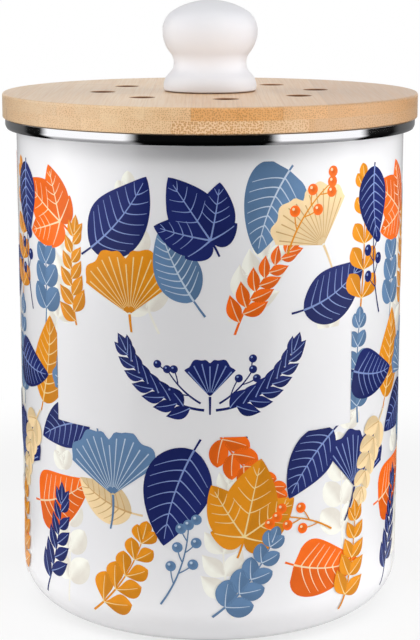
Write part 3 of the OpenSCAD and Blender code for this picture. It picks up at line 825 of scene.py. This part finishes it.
def makeInk(name, levels, look):
    # Fired print under the gloss: a darker and a lighter tone by the leaf's side, clouded like a wash,
    # with a fine grain
    material, shader, point = newMaterial(name)
    dark, light, speck = (srgbColour(levels, look[gain]) for gain in ("dark", "light", "speck"))
    tone = addNode(point.id_data, "Attribute", {"attribute_name": "tone"}).outputs["Fac"]
    cloud = noise(point, look["cloudScale"], 4, 0.6)
    amount = plus(tone, times(minus(cloud, 0.5), look["clouding"]))
    colour = blendColour(stretch(amount, 0.0, 1.0, 0, 1, False), dark, light)
    grain = stretch(noise(point, look["grainScale"]), 0.58, 0.8, 0.0, 0.12)
    setInputs(shader, {
        **look["gloss"], "Base Color": blendColour(grain, colour, speck),
        "Normal": bump(noise(point, enamelLook["peelScale"]), enamelLook["peelDepth"])})
    return material


def flatShapes(patches, shifts):
    # Grids to one list of points and quads, copied at each shift along s
    points, faces, tones, levels = [], [], [], []
    total = 0
    for grids, patchTones, level in patches:
        count, rows, columns = grids.shape[:3]
        k, i, j = np.meshgrid(np.arange(count), np.arange(rows - 1), np.arange(columns - 1), indexing="ij")
        corner = (k * rows + i) * columns + j
        quads = np.stack([corner, corner + columns, corner + columns + 1, corner + 1], axis=-1).reshape(-1, 4)
        for shift in shifts:
            points.append(grids.reshape(-1, 2) + (shift, 0))
            faces.append(quads + total)
            tones.append(patchTones.reshape(-1))
            levels.append(np.full(count * rows * columns, float(level)))
            total += count * rows * columns
    return [np.concatenate(rows) for rows in (points, faces, tones, levels)]


def wrapPrint(name, patches, material, shifts, cutLabel):
    # Flat shapes (s, t) are trimmed to the print's border and label, closed to thin shells, then bent round
    # the wall: x = r sin(s / R), y = -r cos(s / R). Each layer is a hair proud. Below the start c of the
    # foot's round, the shape follows it: with d = (c - t) / c, r = R - c + (c + lift) cos d and
    # z = c - (c + lift) sin d
    points, faces, tones, levels = flatShapes(patches, shifts)
    mesh = bpy.data.meshes.new(name)
    upright = np.insert(points, 1, 0, axis=1)
    mesh.from_pydata(upright.tolist(), [], faces.tolist())
    mesh.attributes.new("tone", "FLOAT", "POINT").data.foreach_set("value", tones)
    mesh.attributes.new("level", "FLOAT", "POINT").data.foreach_set("value", levels)
    low, high = printSetup["low"], printSetup["high"]
    left, right, foot, top = printSetup["label"]
    curve = pailSize["footCorner"]
    work = bmesh.new()
    work.from_mesh(mesh)
    rows = np.arange(curve, low + 0.5, -1.4).tolist()
    cuts = [((0, 0, height), (0, 0, 1)) for height in (low, high, *rows)]
    if cutLabel:
        cuts += [((left, 0, 0), (1, 0, 0)), ((right, 0, 0), (1, 0, 0)),
                 ((0, 0, foot), (0, 0, 1)), ((0, 0, top), (0, 0, 1))]
    for spot, normal in cuts:
        everything = work.verts[:] + work.edges[:] + work.faces[:]
        bmesh.ops.bisect_plane(work, geom=everything, dist=1e-4, plane_co=spot, plane_no=normal)
    gone = []
    for face in work.faces:
        middle = face.calc_center_median()
        inLabel = cutLabel and left < middle.x < right and foot < middle.z < top
        if inLabel or middle.z < low or middle.z > high:
            gone.append(face)
    bmesh.ops.delete(work, geom=gone, context="FACES")
    bmesh.ops.dissolve_degenerate(work, dist=0.003, edges=work.edges[:])
    bmesh.ops.reverse_faces(work, faces=[face for face in work.faces if face.normal.y > 0])
    bmesh.ops.solidify(work, geom=work.faces[:], thickness=1.0)
    work.to_mesh(mesh)
    work.free()
    flat = np.empty(len(mesh.vertices) * 3)
    mesh.vertices.foreach_get("co", flat)
    s, depth, t = flat.reshape(-1, 3).T
    level = np.empty(len(s))
    mesh.attributes["level"].data.foreach_get("value", level)
    under = np.abs(depth) > 0.5
    lift = printSetup["firstLift"] + printSetup["layer"] * level - printSetup["thickness"] * under
    angle = s / printSetup["radius"]
    dip = np.maximum(curve - t, 0) / curve
    outward = np.column_stack([np.sin(angle) * np.cos(dip), -np.cos(angle) * np.cos(dip), -np.sin(dip)])
    reach = printSetup["radius"] - curve + (curve + lift) * np.cos(dip)
    height = np.maximum(t, curve) - (curve + lift) * np.sin(dip)
    bent = np.column_stack([np.sin(angle) * reach, -np.cos(angle) * reach, height]) * mm
    mesh.vertices.foreach_set("co", bent.reshape(-1))
    piece = finishPiece(name, mesh, outward, "pail", material)
    piece.visible_shadow = False  # fired ink is too thin to cast a shadow
    print(name, len(mesh.polygons), "faces")


tileWidth = 2 * math.pi * printSetup["radius"] / printSetup["tiles"]
inks = {ink: makeInk("ink" + ink[0].upper() + ink[1:], levels, inkLook) for ink, levels in inkColours.items()}
for firstName, layout, shifts, cutLabel in (
        ("print", layoutPattern, (-tileWidth, 0, tileWidth), True),
        ("labelSprigs", layoutOrnament, (0,), False)):
    sheet = PrintSheet(tileWidth)
    layout(sheet)
    for ink, patches in sheet.inks.items():
        wrapPrint(firstName + ink[0].upper() + ink[1:], patches, inks[ink], shifts, cutLabel)
print("pattern printed")

for finish, nodeNames in (
        (bamboo, ("bamboo_lid", "plug_ring")), (silicone, ("lid_seal",)), (glaze, ("knob",)),
        (brass, ("knob_insert",)), (felt, ("carbon_filter",)), (mouldedGrey, ("inner_bucket", "bail_handle")),
        (zincSteel, ("knob_screw", "knob_washer", "clip_screws", "clip_washers",
                     "filter_clip_1", "filter_clip_2", "filter_clip_3"))):
    for nodeName in nodeNames:
        for slot in frame["nodes"][nodeName].material_slots:
            slot.material = finish


def sectorRamp(x, y, rows, most=1.0):
    # Grey levels by the way round the axis, in degrees: 0 is the front, and the right is positive
    turn = calc("ARCTAN2", x, times(y, -1.0))
    place = plus(calc("DIVIDE", turn, 2 * math.pi), 0.5)
    return colourRamp(place, [((degrees + 180) / 360, grey(level / most)) for degrees, level in rows])


def mixShaders(share, first, second):
    # The second shader over the first by share
    sockets = {0: share, 1: first.outputs[0], 2: second.outputs[0]}
    return addNode(share.id_data, "MixShader", None, sockets)


tentLook = {"leftWall": 4.0, "rightWall": 4.2, "nearWall": 1.0, "front": 0.03, "flag": 0.05, "back": 0.88,
            "topFront": 0.45, "topBack": 0.35, "topStart": 0.55, "topFull": 0.75, "mirrorMost": 1.0}


def makeWorld(look):
    # Light tent as a function of direction: bright side walls, dark behind the camera, white at the back,
    # and a broad ceiling light over the front half
    world = bpy.data.worlds.new("studio")
    bpy.context.scene.world = world
    world.use_nodes = True
    tree = world.node_tree
    tent = tree.nodes["Background"]
    x, y, z = splitPoint(addNode(tree, "TexCoord").outputs["Generated"])
    left, right, near = look["leftWall"], look["rightWall"], look["nearWall"]
    front, flag, back = look["front"], look["flag"], look["back"]
    topFront, topBack = look["topFront"], look["topBack"]
    most = max(left, right, topFront)
    walls = sectorRamp(x, y, (
        (-180, back), (-156, back), (-146, flag), (-128, flag * 2), (-122, left), (-86, left),
        (-70, near * 1.5), (-54, near), (-44, front), (31, front), (40, near), (62, near * 1.5),
        (80, right), (114, right), (122, flag * 2), (146, flag), (156, back), (180, back)), most)
    ceiling = sectorRamp(x, y, ((-140, topBack), (-80, topFront), (80, topFront), (140, topBack)), most)
    level = blendColour(stretch(z, look["topStart"], look["topFull"]), walls, ceiling)
    # in a gloss the tent is no brighter than a white wall, so a lid seen from the side keeps its colour
    rays = addNode(tree, "LightPath").outputs
    calm = blendColour(1.0, level, grey(look["mirrorMost"] / most), "DARKEN")
    setInputs(tent, {"Color": blendColour(rays["Is Glossy Ray"], level, calm), "Strength": most})
    white = addNode(tree, "Background", None, {"Color": grey(1.0), "Strength": 1.0})
    mix = mixShaders(rays["Is Camera Ray"], tent, white)
    feed(tree.nodes["World Output"].inputs["Surface"], mix.outputs[0])


floorLook = {
    "reach": 4.0, "near": 0.71, "far": 0.08, "nearAway": 0.12, "farAway": 0.36, "besideGlow": 0.35,
    "mirrored": ((-180, 0.3), (-150, 0.16), (-124, 0.09), (-118, 0.004), (-105, 0.004), (-99, 1), (-46, 1),
                 (-39, 0.003), (32, 0.003), (38, 1), (89, 1), (95, 0.004), (119, 0.004), (128, 0.09),
                 (150, 0.16), (180, 0.3))}


def makeFloor(look):
    mesh = bpy.data.meshes.new("floor")
    reach = look["reach"]
    corners = [(-reach, -reach, 0), (reach, -reach, 0), (reach, reach, 0), (-reach, reach, 0)]
    mesh.from_pydata(corners, [], [(0, 1, 2, 3)])
    floor = linkObject("floor", mesh)
    material, shader, point = newMaterial("paleFloor")
    tree = point.id_data
    mesh.materials.append(material)
    x, y = splitPoint(point)[:2]
    away = axisAway(x, y)
    tone = stretch(away, look["nearAway"], look["farAway"], look["near"], look["far"])
    setInputs(shader, {
        "Base Color": joinPoint(tone, tone, tone), "Roughness": 0.8, "Specular IOR Level": 0.1})
    # what polished metal sees in the floor: black ahead, white at both sides, black and grey behind,
    # and white close by
    sectors = sectorRamp(x, y, look["mirrored"])
    beside = stretch(away, 0.2, 0.11)
    rays = addNode(tree, "LightPath").outputs
    glow = addNode(tree, "Emission", None, {"Color": grey(1.0), "Strength": 1.0})
    mirrored = addNode(tree, "Emission", None, {
        "Color": blendColour(beside, sectors, grey(1.0)),
        "Strength": plus(stretch(away, 0.2, 0.8, 0.3, 1.12), times(beside, look["besideGlow"]))})
    dimmed = mixShaders(rays["Is Glossy Ray"], shader, mirrored)
    whiten = times(rays["Is Camera Ray"], stretch(away, 0.12, 0.4, 0.75, 1.0))
    mix = mixShaders(whiten, dimmed, glow)
    feed(tree.nodes["Material Output"].inputs["Surface"], mix.outputs[0])


def addSoftLight(name, place, aim, width, height, power, spotAngle, pieces, linkState="INCLUDE"):
    # Lamp without a mirror image, so only its light counts; with an angle it is a spot with a soft edge.
    # It lights the given pieces alone, or all but those
    lamp = bpy.data.lights.new(name, "SPOT" if spotAngle else "AREA")
    if spotAngle:
        lamp.shadow_soft_size = width
        lamp.spot_size = math.radians(spotAngle)
        lamp.spot_blend = 1.0
    else:
        lamp.shape = "RECTANGLE"
        lamp.size = width
        lamp.size_y = height
    lamp.energy = power
    holder = linkObject(name, lamp)
    way = np.array(aim, float) - np.array(place, float)
    way = way / np.linalg.norm(way)
    holder.location = place
    holder.rotation_euler = (math.acos(-way[2]), 0, -math.atan2(way[0], way[1]))
    holder.visible_glossy = False
    receivers = bpy.data.collections.new(name + "Receivers")
    holder.light_linking.receiver_collection = receivers
    for piece in pieces:
        receivers.objects.link(piece)
    for row in receivers.collection_objects:
        row.light_linking.link_state = linkState


makeWorld(tentLook)
makeFloor(floorLook)
board = [frame["nodes"]["bamboo_lid"]]
knob = [bpy.data.objects["knobPorcelain"]]
coated = [piece for piece in bpy.data.objects
          if piece.name.startswith(("pailEnamel", "print", "labelSprigs"))]
overhead = (0, -0.61, 1.27)
ahead = (0, -1.2, 0.21)
for lampRow in (  # name, place, aim, width, height, power, spot angle, pieces
        ("ceilingFront", overhead, (0, 0, 0.12), 1.2, 0.5, 11.5, 0, board + knob, "EXCLUDE"),
        ("lidTop", overhead, (0, 0, 0.25), 1.2, 0.5, 0.4, 0, board),
        ("knobTop", overhead, (0, 0, 0.25), 1.2, 0.5, 1.3, 0, knob),
        ("lidFill", ahead, (0, 0, 0.24), 0.5, 0.25, 6.6, 0, board),
        ("knobFill", ahead, (0, 0, 0.26), 0.5, 0.25, 10.4, 0, knob),
        ("sideFillLeft", (-1.18, -0.25, 0.12), (0, 0, 0.12), 0.5, 0.5, 1.0, 0, coated),
        ("sideFillRight", (1.15, -0.35, 0.12), (0, 0, 0.12), 0.5, 0.5, 1.3, 0, coated),
        ("underRimLeft", (-0.75, -0.62, 0.16), (-0.066, -0.055, 0.216), 0.03, 0, 10, 8.6, coated),
        ("underRimRight", (0.75, -0.62, 0.16), (0.066, -0.055, 0.216), 0.03, 0, 10, 8.6, coated)):
    addSoftLight(*lampRow)

cameraSetup = {"place": (0, -0.8273, 0.3013), "tilt": 78.455, "lens": 99.38, "sensor": 36}
lens = bpy.data.cameras.new("camera")
lens.lens = cameraSetup["lens"]
lens.sensor_width = cameraSetup["sensor"]
cameraHolder = linkObject("camera", lens)
cameraHolder.location = cameraSetup["place"]
cameraHolder.rotation_euler = (math.radians(cameraSetup["tilt"]), 0, 0)
bpy.context.scene.camera = cameraHolder
bpy.context.scene.view_settings.view_transform = "Standard"
print("studio ready")
